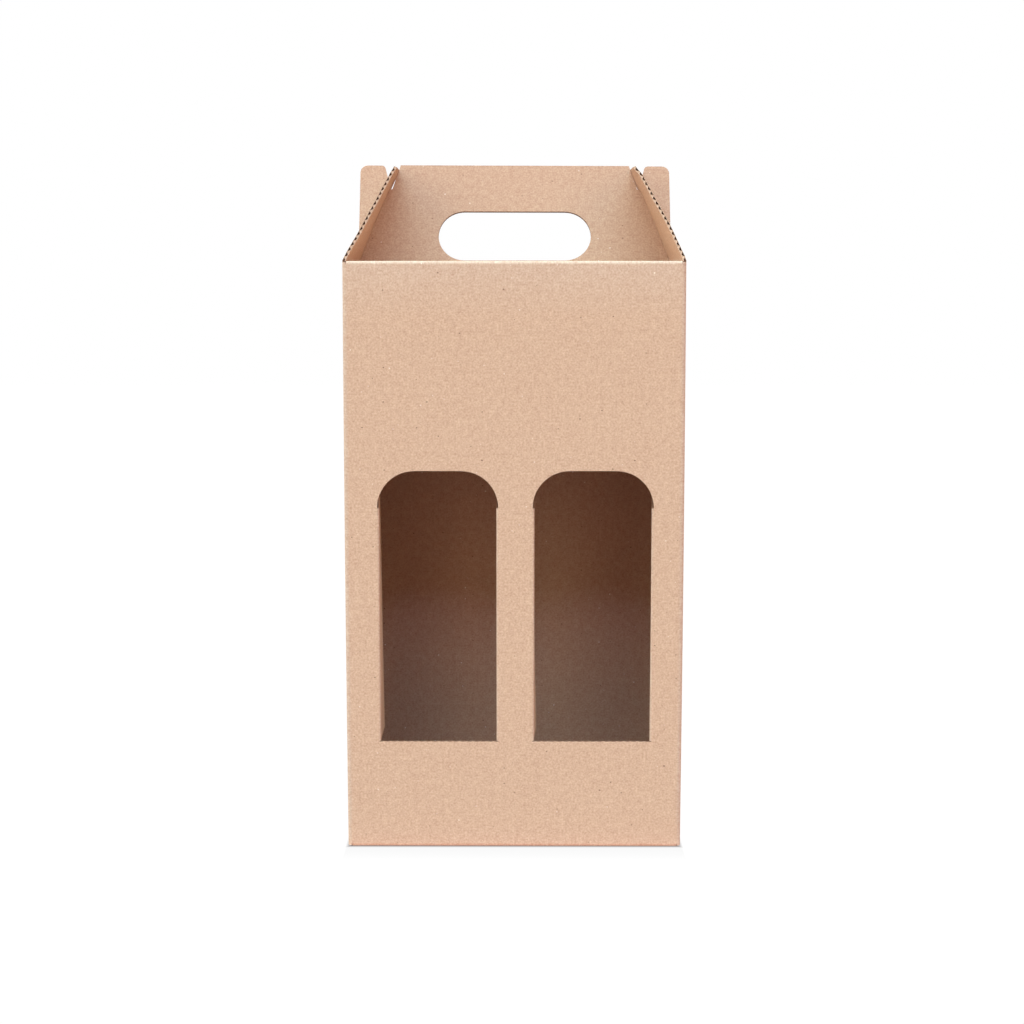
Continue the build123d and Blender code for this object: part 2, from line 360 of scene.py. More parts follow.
class Strip:
    """One stretch of the sheet: a base line in plan and a folded line up it."""

    def __init__(self, board, base, line, rows=(), folds=(), side_folds=(), shape=None, columns=(),
                 pressed=True):
        self.board = board
        self.base = base
        self.line = line
        self.rows = np.unique(np.round(np.concatenate([line[:, 0], rows]), 6))
        self.folds = folds
        self.side_folds = side_folds
        self.shape = shape
        self.columns = columns
        self.pressed = pressed
        self.bends = line[1:-1, 0]

    def pocket(self, edge, inward, length):
        """How deep the open flutes can be modelled at a cut edge, short of the next fold."""
        depth = np.minimum(POCKET, POCKET_SHARE * length)
        for bend in self.bends:
            ahead = (bend - edge) * inward
            room = np.where(ahead > 0, ahead, POCKET)
            depth = np.minimum(depth, np.maximum(POCKET_ROOM * room, POCKET_LEAST))
        return inward * depth

    def place(self, u, v, height):
        """Where a point of the blank lies once it is folded."""
        plan, facing = self.base(u)
        line = self.line
        out, up, face_out, face_up = [np.interp(v, line[:, 0], line[:, k]) for k in range(1, 5)]
        reach = out + height * face_out
        places = np.empty(u.shape + (3,))
        places[..., 0] = plan[..., 0] + facing[..., 0] * reach
        places[..., 1] = plan[..., 1] + facing[..., 1] * reach
        places[..., 2] = up + height * face_up
        return self.shape(places, u, v) if self.shape else places

    def rub_and_highlight(self, u, v):
        """How much a fold has been rubbed at each point, which also paints its highlight."""
        worn_and_highlight = np.zeros(u.shape)
        for fold in self.folds:
            worn_and_highlight = np.maximum(worn_and_highlight, np.exp(-((v - fold) / RUB_AND_HIGHLIGHT_REACH) ** 2))
        for fold in self.side_folds:
            worn_and_highlight = np.maximum(worn_and_highlight, np.exp(-((u - fold) / RUB_AND_HIGHLIGHT_REACH) ** 2))
        return worn_and_highlight

    def lay(self, u, v, height, mark, flip=False):
        """One grid of faces at given heights through the board."""
        self.board.grid(self.place(u, v, height), u, v, self.rub_and_highlight(u, v), mark, flip)

    def fill(self, loops, seam_rows=(), seam_columns=(), creases=()):
        """The board inside outlines given anticlockwise, with holes given clockwise."""
        edges = [(p, q) for loop in loops for p, q in zip(loop, loop[1:] + loop[:1])]
        breaks = np.unique(np.round([p[0] for loop in loops for p in loop], 5))
        corners = [v for loop in loops for _, v in loop]
        self.rows = np.unique(np.round(np.concatenate([self.rows, corners]), 6))
        for left, right in zip(breaks[:-1], breaks[1:]):
            if right - left > CLOSE:
                self.fill_zone(edges, left, right, seam_rows)
        for p, q in edges:
            if abs(p[0] - q[0]) < ROUNDING and abs(p[1] - q[1]) > ROUNDING:
                self.side_wall(p, q, seam_columns, creases)

    def fill_zone(self, edges, left, right, seam_rows):
        """All the board between two neighbouring corners of the outline."""
        middle = (left + right) / 2
        crossing = []
        for p, q in edges:
            low, high = sorted((p[0], q[0]))
            spans = low <= left + 2 * ROUNDING and high >= right - 2 * ROUNDING
            if spans and high - low > ROUNDING:
                slope = (q[1] - p[1]) / (q[0] - p[0])
                crossing.append((p[1] + (middle - p[0]) * slope, slope))
        crossing.sort()
        columns = np.concatenate([[left], self.columns_between(left, right), [right]])
        for (low, low_slope), (high, high_slope) in zip(crossing[::2], crossing[1::2]):
            bottom = low + (columns - middle) * low_slope
            top = high + (columns - middle) * high_slope
            self.fill_patch(columns, bottom, top, seam_rows)

    def columns_between(self, left, right):
        """The mesh columns inside a zone: the strip's own, or a fixed number to each flute."""
        if len(self.columns):
            return self.columns
        step = PITCH / STEPS
        grid = step * np.arange(np.ceil(left / step), np.floor(right / step) + 1)
        return grid[(grid > left + COLUMN_GAP * step) & (grid < right - COLUMN_GAP * step)]

    def fill_patch(self, columns, bottom, top, seam_rows):
        """Both faces of the board between two edges, and its cut ends."""
        inside = self.rows[(self.rows > bottom.min()) & (self.rows < top.max())]
        v = np.concatenate([bottom[None, :], np.repeat(inside[:, None], len(columns), 1), top[None, :]])
        v = np.clip(v, bottom, top)
        u = np.broadcast_to(columns, v.shape)
        levels = level_heights(u)
        self.lay(u, v, levels[0], OUTER)
        self.lay(u, v, levels[5], INNER, flip=True)
        for edge, inward in ((top, -1), (bottom, 1)):
            if any(np.allclose(edge, seam, atol=CLOSE) for seam in seam_rows):
                continue
            self.cut_end(columns, edge, self.pocket(edge, inward, top - bottom))

    def cut_end(self, columns, edge, pocket):
        """A cut across the flutes, with the open flutes between the papers, their insides darkened by
        painted shade.
        """
        top, under, wave_top, wave_under, low, bottom = level_heights(columns)
        heights = [top, under, under, wave_top, wave_top, wave_under, wave_under, low, low, bottom]
        deep, inner = (CRUSHED, CUT) if self.pressed else (1, FLUTE_SHADE)
        depths = [0, 0, 1, 1, 0, 0, deep, deep, 0, 0]
        v = np.stack([edge + depth * pocket for depth in depths])
        u = np.broadcast_to(columns, v.shape)
        heights = np.stack(heights)
        for first, last, mark in ((0, 2, CUT), (1, 5, FLUTE_SHADE), (4, 6, CUT), (5, 9, inner), (8, 10, CUT)):
            rows = slice(first, last)
            self.lay(u[rows], v[rows], heights[rows], mark, flip=pocket.mean() > 0)

    def side_wall(self, p, q, seam_columns, creases):
        """A cut along the flutes, between the edges of the two liners."""
        across = p[0]
        low, high = sorted((p[1], q[1]))
        if any(abs(across - seam) < CLOSE for seam in seam_columns):
            if low > FOLD - CLOSE and high < SHOULDER + CLOSE:
                return
            low, high = (low, FOLD) if low < FOLD else (SHOULDER, high)
        rising = q[1] > p[1]
        depth = 0.0 if any(abs(across - crease) < CLOSE for crease in creases) else EDGE_RECESS
        rows = self.rows[(self.rows > low) & (self.rows < high)]
        rows = np.concatenate([[low], rows, [high]])
        inner = across - depth if rising else across + depth
        top, under, _, _, lower, bottom = [h[0] for h in level_heights(np.array([across]))]
        heights = [top, under, under, lower, lower, bottom]
        places = [across, across, inner, inner, across, across]
        u = np.broadcast_to(np.array(places), (len(rows), len(places)))
        v = np.repeat(rows[:, None], len(places), 1)
        height = np.broadcast_to(np.array(heights), u.shape)
        self.lay(u, v, height, CUT, flip=not rising)


def board_object(name, board):
    """A mesh object from the collected faces, with doubled points joined."""
    parts = (board.points, board.maps, board.rubs_and_highlights, board.quads, board.marks)
    points, maps, rubs_and_highlights, quads, marks = [np.concatenate(part) for part in parts]
    keys = np.round(points * WELD_GRID + WELD_SHIFT).astype(np.int64)
    _, first, joined = np.unique(keys, axis=0, return_index=True, return_inverse=True)
    joined = joined.reshape(-1)
    faces = []
    kept_marks = []
    kept_maps = []
    for quad, mark in zip(quads, marks):
        ring = {}
        for corner in quad:
            ring.setdefault(joined[corner], corner)
        if len(ring) > 2:
            faces.append(list(ring))
            kept_marks.append(mark)
            kept_maps.extend(ring.values())
    mesh = bpy.data.meshes.new(name)
    mesh.from_pydata((points[first] * MM).tolist(), [], faces)
    layer = mesh.uv_layers.new(name="blank")
    layer.data.foreach_set("uv", maps[kept_maps].reshape(-1).astype(np.float32))
    rub_and_highlight = mesh.attributes.new("rub_and_highlight", "FLOAT", "POINT")
    rub_and_highlight.data.foreach_set("value", rubs_and_highlights[first].astype(np.float32))
    mesh.polygons.foreach_set("material_index", np.array(kept_marks, np.int32))
    mesh.polygons.foreach_set("use_smooth", np.ones(len(faces), bool))
    mesh.set_sharp_from_angle(angle=SHARP_ANGLE)
    for material in (OUTER_LINER, INNER_LINER_AND_SHADE, CUT_EDGE, FLUTE_SHADE_MATERIAL):
        mesh.materials.append(material)
    obj = bpy.data.objects.new(name, mesh)
    bpy.context.collection.objects.link(obj)
    return obj


# Outlines of the panels, anticlockwise, across and along the flutes of a wall's own middle

def rounded(corners, steps=CORNER_STEPS):
    """An outline whose corners are given with their radius."""
    out = []
    befores = corners[-1:] + corners[:-1]
    afters = corners[1:] + corners[:1]
    for before, (u, v, radius), after in zip(befores, corners, afters):
        if radius == 0:
            out.append((u, v))
            continue
        here = np.array([u, v])
        came = here - np.array(before[:2])
        goes = np.array(after[:2]) - here
        came /= np.linalg.norm(came)
        goes /= np.linalg.norm(goes)
        turn = np.arctan2(came[0] * goes[1] - came[1] * goes[0], came @ goes)
        trim = radius * tan(abs(turn) / 2)
        start = here - came * trim
        side = np.sign(turn) * radius
        centre = start + side * np.array([-came[1], came[0]])
        first = np.arctan2(*(start - centre)[::-1])
        for k in range(steps + 1):
            angle = first + turn * k / steps
            out.append((centre[0] + radius * cos(angle), centre[1] + radius * sin(angle)))
    return out


def window_hole(middle):
    """One arched window, clockwise."""
    half = WINDOW_WIDTH / 2
    top = WINDOW_BOTTOM + WINDOW_HEIGHT
    return rounded([
        (middle - half, WINDOW_BOTTOM, 0),
        (middle - half, top, ARCH_RADIUS),
        (middle + half, top, ARCH_RADIUS),
        (middle + half, WINDOW_BOTTOM, 0),
    ], steps=ARCH_STEPS)


def front_outline(line):
    """The front wall, the lid and the tuck flap, above the split."""
    lid_half = HALF_WIDTH - BOARD - LID_SIDE_GAP
    tuck_half = lid_half - TUCK_INSET
    end = line[-1, 0]
    tuck_start = end - (TUCK_DEPTH - MID_RADIUS)
    right = [
        (FLAT_FRONT, SPLIT, 0),
        (FLAT_FRONT, SHOULDER, 0),
        (lid_half, SHOULDER + CORNER_ARC, 0),
        (lid_half, tuck_start, 0),
        (tuck_half, tuck_start + TUCK_STEP, 0),
        (tuck_half, end, TUCK_CORNER),
    ]
    left = [(-u, v, radius) for u, v, radius in right]
    return rounded(left[:1] + right + left[:0:-1])


def panel_back(rise):
    """Y of the handle panel's rear face at a rise above the top fold."""
    return HALF_DEPTH + rise * tan(HANDLE_LEAN)


def gusset_outline(wall_end):
    """A side wall and its gusset, by place along Y and distance up the board."""
    up = cos(GUSSET_LEAN)
    gap = PLAY / cos(HANDLE_LEAN)
    thickness = BOARD / cos(HANDLE_LEAN)
    foot = HEIGHT + HALF * GUSSET_LEAN

    def before(rise):
        return panel_back(rise * up) - thickness - gap

    def behind(rise):
        return panel_back(rise * up) + gap

    tip_back = -HALF_DEPTH + TIP_BACK
    tab_low = (NOTCH_LEVEL + NOTCH_CLEAR) * cos(HANDLE_LEAN) / up
    hook_low = tab_low - HOOK_DROP
    hook_back = behind(TIP_RISE) + HOOK_WIDTH
    hook_top = TIP_RISE + (hook_back - tip_back) * tan(radians(TOP_SLOPE))
    return rounded([
        (-FLAT_SIDE, SPLIT, 0),
        (wall_end, SPLIT, 0),
        (wall_end, HEIGHT, 0),
        (before(0), HEIGHT + GUSSET_LIP, 0),
        (before(tab_low), foot + tab_low, 0),
        (behind(tab_low), foot + tab_low, 0),
        (behind(hook_low), foot + hook_low, 0),
        (behind(hook_low) + HOOK_WIDTH, foot + hook_low, HOOK_CORNER),
        (hook_back, foot + hook_top, HOOK_CORNER),
        (tip_back, foot + TIP_RISE, 0),
        (-FLAT_SIDE, foot, 0),
        (-FLAT_SIDE, SHOULDER, 0),
    ])


def handle_outline():
    """The back wall and the handle panel, with its ears and notches, seen from behind."""
    foot = HEIGHT + HALF * HANDLE_LEAN
    ear_top = foot + HANDLE_RISE - EAR_DROP
    top = foot + HANDLE_RISE
    outer_foot = NOTCH_FOOT + NOTCH_RADIUS

    def half(base):
        ear = rounded([
            (base, SPLIT, 0),
            (base, SHOULDER, 0),
            (base, foot + EAR_FOOT, 0),
            (PANEL_HALF, foot + EAR_FOOT, 0),
            (PANEL_HALF, ear_top, EAR_CORNER),
            (NOTCH_TOP_OUTER, ear_top, EAR_INNER_CORNER),
            (outer_foot + HALF, foot + NOTCH_LEVEL + NOTCH_CLEAR, 0),
            (outer_foot, foot + NOTCH_LEVEL, 0),
        ])
        round_end = arc((NOTCH_FOOT, foot + NOTCH_LEVEL), NOTCH_RADIUS, 0, -180, NOTCH_STEPS)
        return ear + round_end[1:] + [(NOTCH_TOP_INNER, top)]

    return half(FLAT_FRONT) + mirrored(half(BACK_RIGHT))


def hand_hole():
    """The hand hole, clockwise."""
    middle = HEIGHT + HALF * HANDLE_LEAN + HOLE_LEVEL
    half = HOLE_LENGTH / 2
    rise = HOLE_HEIGHT / 2
    radius = rise - HOLE_FLAT
    return rounded([
        (-half, middle - rise, radius),
        (-half, middle + rise, radius),
        (half, middle + rise, radius),
        (half, middle - rise, radius),
    ], steps=ARCH_STEPS)


def blank_at(line, inward):
    """Distance along the blank where a bottom flap is this far in from its wall's middle plane."""
    return float(np.interp(-inward, line[:, 1], line[:, 0]))


def bottom_outline(line, left, right, fold_half, reach, gap, taper, middle):
    """A bottom flap with mitred corners; middle holds the points of its tongue or notch, left to right."""
    run = LEDGE + CLIMB - FOLD
    near = blank_at(line, MID_RADIUS)
    knee = blank_at(line, LEDGE + CLIMB - HALF)
    end = blank_at(line, reach - HALF)
    side = fold_half - gap
    return [
        (right, SPLIT),
        (-left, SPLIT),
        (-left, FOLD),
        (-side, near),
        (-side + run, knee),
        (-side + run + taper, end),
        *middle,
        (side - run - taper, end),
        (side - run, knee),
        (side, near),
        (right, FOLD),
    ]


# Shapes that the flat panels take up when folded

def bowed(places, u, v):
    """The side walls' slight outward bow."""
    height = np.clip(places[..., 2], 0, HEIGHT)
    places[..., 0] *= 1 + SIDE_BOW / HALF_WIDTH * np.sin(pi * height / HEIGHT)
    return places


def eased(share, values):
    """A smooth curve through values given at the stations."""
    step = np.clip(np.searchsorted(STATIONS, share) - 1, 0, len(STATIONS) - 2)
    stations = np.array(STATIONS)
    values = np.array(values)
    part = np.clip((share - stations[step]) / (stations[step + 1] - stations[step]), 0, 1)
    part = part * part * (3 - 2 * part)
    return values[step] + (values[step + 1] - values[step]) * part


def warped_gusset(places, u, v):
    """The bow, and each gusset's twist between its hooked edge and its free one."""
    places = bowed(places, u, v)
    rise = np.clip((v - HEIGHT) / TIP_RISE, 0, 1)
    hooked = panel_back(TIP_RISE * rise) - BOARD
    free_edge = -HALF_DEPTH + FOLD + (TIP_BACK - FOLD) * rise
    free = np.clip((hooked - places[..., 1]) / (hooked - free_edge), 0, 1)
    left = (1 - free) * eased(rise, LEFT_HOOKED_EDGE) + free * eased(rise, LEFT_FREE_EDGE)
    right = (1 - free) * eased(rise, RIGHT_HOOKED_EDGE) + free * eased(rise, RIGHT_FREE_EDGE)
    places[..., 0] += np.where(places[..., 0] > 0, -right, left)
    return places


def slanted_handle(places, u, v):
    """The bow, and the handle panel a little lower on the right."""
    places = bowed(places, u, v)
    rise = np.clip((v - HEIGHT) / HANDLE_RISE, 0, 1)
    places[..., 2] -= SLANT * rise * places[..., 0] / HALF_WIDTH
    return places


# The carton

UPRIGHT_ROWS = np.linspace(SPLIT, SHOULDER, UPRIGHT_COUNT)
GUSSET_ROWS = np.concatenate([UPRIGHT_ROWS, HEIGHT + TIP_RISE * np.linspace(*GUSSET_SPAN, GUSSET_COUNT)])
SIDE_PANELS = (
    (RIGHT_BASE, RIGHT_WALL, HALF_DEPTH - PLAY),
    (LEFT_BASE, LEFT_WALL, FLAT_SIDE),
)


CORNERS = (
    (FLAT_FRONT, (FLAT_FRONT, -FLAT_SIDE), -pi / 2),
    (-FLAT_FRONT - CORNER_ARC, (-FLAT_FRONT, -FLAT_SIDE), -pi),
    (LEFT_WALL - FLAT_SIDE - CORNER_ARC, (-FLAT_FRONT, FLAT_SIDE), pi / 2),
    (GLUE_FOLD, (BACK_RIGHT, FLAT_SIDE), 0.0),
)
SEAM_COLUMNS = [start + across for across in (0.0, CORNER_ARC) for start, _, _ in CORNERS]


def fill_corners(board, low, high, seam):
    """The four upright folds between two heights."""
    for start, centre, facing in CORNERS:
        end = start + CORNER_ARC
        strip = Strip(
            board, round_corner(start, centre, facing), UPRIGHT,
            rows=UPRIGHT_ROWS, side_folds=[(start + end) / 2], shape=bowed,
            columns=np.linspace(start, end, ARC_STEPS + 1)[1:-1],
        )
        loop = [(start, low), (end, low), (end, high), (start, high)]
        strip.fill([loop], seam_rows=[seam], seam_columns=SEAM_COLUMNS)


def upper_carton():
    """Walls, lid, gussets and handle panel."""
    board = Board()
    line = lid_line()
    top_fold = SHOULDER + CORNER_ARC / 2
    tuck_fold = line[-1, 0] - TUCK_DEPTH + MID_RADIUS - CORNER_ARC / 2
    front = Strip(
        board, FRONT_BASE, line, rows=UPRIGHT_ROWS, folds=[top_fold, tuck_fold],
        side_folds=[-HALF_WIDTH + RUB_AND_HIGHLIGHT_INSET, HALF_WIDTH - RUB_AND_HIGHLIGHT_INSET], shape=bowed,
    )
    windows = [window_hole(middle) for middle in WINDOW_MIDDLES]
    sides = [u for window in windows for u in (window[0][0], window[-1][0])]
    front.fill([front_outline(line)] + windows, [SPLIT], SEAM_COLUMNS, sides)

    line = leaning_line(GUSSET_LEAN, TIP_RISE + GUSSET_SPARE)
    for base, middle, wall_end in SIDE_PANELS:
        side = Strip(board, base, line, rows=GUSSET_ROWS, folds=[HEIGHT], shape=warped_gusset)
        outline = gusset_outline(wall_end)
        if middle < 0:
            outline = mirrored(outline)
        side.fill([moved(outline, middle)], [SPLIT], SEAM_COLUMNS)

    line = leaning_line(-HANDLE_LEAN, HANDLE_RISE + HANDLE_SPARE)
    back = Strip(
        board, BACK_BASE, line, rows=UPRIGHT_ROWS, folds=[HEIGHT], shape=slanted_handle, pressed=False,
    )
    loops = [moved(handle_outline(), BACK_WALL), moved(hand_hole(), BACK_WALL)]
    back.fill(loops, [SPLIT], SEAM_COLUMNS)

    glue = Strip(board, GLUE_BASE, UPRIGHT, rows=UPRIGHT_ROWS, shape=bowed)
    free = GLUE_FOLD - GLUE_WIDTH
    glue.fill([[
        (free, GLUE_END + GLUE_TAPER),
        (GLUE_FOLD, GLUE_END),
        (GLUE_FOLD, HEIGHT - GLUE_END),
        (free, HEIGHT - GLUE_END - GLUE_TAPER),
    ]], seam_columns=SEAM_COLUMNS)
    fill_corners(board, SPLIT, HEIGHT - CORNER_RELIEF, SPLIT)
    return board


def bottom_carton():
    """The four bottom flaps and their folds."""
    board = Board()
    foot = FRONT_FLAP - HALF
    line = climbing_line(foot, TONGUE_RISE, foot + TONGUE_RISE + TONGUE_REACH, 3)
    end = blank_at(line, foot)
    half = TONGUE_WIDTH / 2
    tip = line[0, 0]
    tongue = [(-half, end), (-half, tip), (half, tip), (half, end)]
    front = Strip(board, FRONT_BASE, line, folds=[HALF], shape=bowed)
    outline = bottom_outline(line, FLAT_FRONT, FLAT_FRONT, FLAT_FRONT, FRONT_FLAP, PLAY, 0, tongue)
    front.fill([outline], [SPLIT], SEAM_COLUMNS)

    line = climbing_line(LEDGE, CLIMB, SIDE_FLAP, 1)
    for base, middle, wall_end in SIDE_PANELS:
        side = Strip(board, base, line, folds=[HALF], shape=bowed)
        outline = bottom_outline(line, FLAT_SIDE, wall_end, FLAT_SIDE, SIDE_FLAP, 0, FLAP_CORNER, [])
        if middle < 0:
            outline = mirrored(outline)
        side.fill([moved(outline, middle)], [SPLIT], SEAM_COLUMNS)

    line = climbing_line(LEDGE, CLIMB, BACK_FLAP, 2)
    end = blank_at(line, BACK_FLAP - HALF)
    half = TONGUE_WIDTH / 2 + NOTCH_SIDE_GAP
    notch_end = FRONT_MID + FRONT_FLAP + TONGUE_RISE + PLAY
    top = blank_at(line, BACK_MID - notch_end)
    notch = [(-half, end), (-half, top), (half, top), (half, end)]
    back = Strip(board, BACK_BASE, line, folds=[HALF], shape=bowed)
    fold_half = FLAT_FRONT - BOARD
    outline = bottom_outline(line, BACK_RIGHT, FLAT_FRONT, fold_half, BACK_FLAP, PLAY, FLAP_CORNER, notch)
    back.fill([moved(outline, BACK_WALL)], [SPLIT], SEAM_COLUMNS)
    fill_corners(board, CORNER_RELIEF, SPLIT, SPLIT)
    return board


# Window flaps and their creases

FLAP_NAMES = ("left_window_outer", "left_window_inner", "right_window_inner", "right_window_outer")
FLAP_PLACES = [(middle, side) for middle in WINDOW_MIDDLES for side in (-1, 1)]
CREASE_LOW = WINDOW_BOTTOM + PLAY
CREASE_HIGH = WINDOW_BOTTOM + WINDOW_HEIGHT - PLAY
CREASE_Y = -HALF_DEPTH + BOARD


def flap_opening(v, angle, twist):
    """How far a flap is folded in at a height, in radians."""
    share = (v - CREASE_LOW) / (CREASE_HIGH - CREASE_LOW) - 0.5
    return np.radians(angle + twist * share)


def window_flap(middle, crease, side, angle, twist):
    """One flap: half of a window's board, turned in about its crease."""
    board = Board()
    free = middle + side * PLAY / 4

    def turned(places, u, v):
        opening = side * flap_opening(v, angle, twist)
        across = places[..., 0] - crease
        deep = places[..., 1] - CREASE_Y + FLAP_SINK
        places[..., 0] = crease + across * np.cos(opening) + deep * np.sin(opening)
        places[..., 1] = CREASE_Y - across * np.sin(opening) + deep * np.cos(opening)
        return bowed(places, u, v)

    low, high = sorted((crease - side * FLAP_ROOT, free))
    radius = ARCH_RADIUS - PLAY
    outline = rounded([
        (low, CREASE_LOW, 0),
        (high, CREASE_LOW, 0),
        (high, CREASE_HIGH, radius if side > 0 else 0),
        (low, CREASE_HIGH, radius if side < 0 else 0),
    ], steps=ARCH_STEPS)
    strip = Strip(board, FRONT_BASE, UPRIGHT, rows=UPRIGHT_ROWS, side_folds=[crease], shape=turned)
    strip.fill([outline], creases=[crease - side * FLAP_ROOT])
    return board


def crease_strip(crease, side, angle, twist):
    """The rounded outside of one crease, from the wall's face to the flap's."""
    board = Board()
    rows = np.linspace(CREASE_LOW, CREASE_HIGH - ARCH_RADIUS, CREASE_COUNT)
    shares = np.concatenate([[-1.0], np.linspace(0, 1, ARC_STEPS + 3), [2.0]])
    v = np.repeat(rows[:, None], len(shares), 1)
    share = np.broadcast_to(shares, v.shape)
    turned = np.clip(share, 0, 1)
    turn = flap_opening(v, angle, twist) * turned
    flat = side * PLAY * (share < 0)
    root = FLAP_ROOT * (share > 1)
    u = crease + flat - side * (BOARD * turn + root)

    def surface(radius):
        radius = radius - FLAP_SINK * turned
        places = np.empty(v.shape + (3,))
        places[..., 0] = crease + flat - side * (radius * np.sin(turn) + root * np.cos(turn))
        places[..., 1] = CREASE_Y - radius * np.cos(turn) + root * np.sin(turn)
        places[..., 2] = v
        return bowed(places, u, v)

    # The crease's rubbed paper, which also paints its highlight
    rub_and_highlight = np.exp(-((np.minimum(share, CREASE_RUB_AND_HIGHLIGHT_END) - 0.5) * CREASE_RUB_AND_HIGHLIGHT_FALL) ** 2)
    outer = surface(BOARD)
    inner = surface(CREASE_INSIDE)
    board.grid(outer, u, v, rub_and_highlight, OUTER, flip=side > 0)
    board.grid(inner, u, v, rub_and_highlight, INNER, flip=side < 0)
    for row, flip in ((0, side > 0), (-1, side < 0)):
        pair = np.stack([outer[row], inner[row]])
        board.grid(pair, *[np.stack([values[row]] * 2) for values in (u, v, rub_and_highlight)], CUT, flip)
    for column, flip in ((0, side < 0), (-1, side > 0)):
        pair = np.stack([outer[:, column], inner[:, column]], axis=1)
        cuts = [np.stack([values[:, column]] * 2, axis=1) for values in (u, v, 0 * rub_and_highlight)]
        board.grid(pair, *cuts, CUT, flip)
    return board


# Materials

OUTER_COLOUR = (0.652, 0.462, 0.310)
# Inner liner: browner paper, set darker and redder partly to paint the shade inside the carton
INNER_COLOUR_AND_SHADE = (0.512, 0.325, 0.215)
# Paler, worn paper at folds and creases, which also paints part of their highlight
RUBBED_AND_HIGHLIGHT_COLOUR = (0.61, 0.475, 0.36)
FLECK_COLOUR = (0.20, 0.105, 0.06)
PALE_COLOUR = (0.83, 0.68, 0.53)
SPOT_COLOUR = (0.95, 0.88, 0.76)
GRAIN_TINT = (0.70, 1.08, 1.15)        # how much each colour follows the grain
CUT_COLOUR = (0.47, 0.30, 0.20)
# Painted shade inside the open flutes, far darker than the paper itself
FLUTE_SHADE_COLOUR = (0.13, 0.055, 0.03)
ONE = (1.0, 1.0, 1.0)

# Liner paper: how strongly each pattern changes its tone, and the patterns' scales to a millimetre
GRAIN_SHARE = 0.33
FIBRE_SHARE = 0.10
CLOUD_SHARE = 0.03
PATCH_SHARE = 0.13
STRIPE_SHARE = 0.006
GRAIN_SCALE = 1.0
FIBRE_STRETCH = (0.35, 1.6)
FIBRE_TURN = 4
CLOUD_SCALE = 0.055
PATCH_SCALE = 0.3
WORN_AND_HIGHLIGHT_SHARE = 0.65        # how far a fold's rubbed paper and painted highlight show, and how much that varies in patches
WORN_AND_HIGHLIGHT_VARIES = 0.35
ROUGHNESS = 0.9
LINER_VARIES = 0.05      # how much the roughness follows the grain
LINER_SPECULAR = 0.25
LINER_BUMP = 0.08
LINER_RELIEF = 0.00005   # in metres
FIBRE_RELIEF = 0.6       # the fibres' height beside the grain's

# Cut paper
CUT_GRAIN_SCALE = 2600.0    # to a metre
CUT_TONE = 0.62
CUT_TONE_VARIES = 0.7
CUT_VARIES = 0.08
CUT_SPECULAR = 0.08
CUT_BUMP = 0.5
CUT_RELIEF = 0.0001      # in metres

# Pale fibres, dark fibres, dark specks and pale specks: colour, strength, length and thickness in
# millimetres, share of the cells that hold one, and directions in degrees
FLECKS = (
    (PALE_COLOUR, 0.22, 1.1, 0.16, 0.35, (12, 75, 140)),
    (FLECK_COLOUR, 0.35, 0.9, 0.2, 0.16, (30, 100, 160)),
    (FLECK_COLOUR, 0.8, 0.9, 0.7, 0.07, (0,)),
    (SPOT_COLOUR, 0.6, 0.8, 0.7, 0.05, (50,)),
)
FLECK_CELL = 0.16        # sizes beside the cell that may hold a fleck
FLECK_LEAST = 0.03
FLECK_VARIES = 0.07
FLECK_EDGE = 30.0


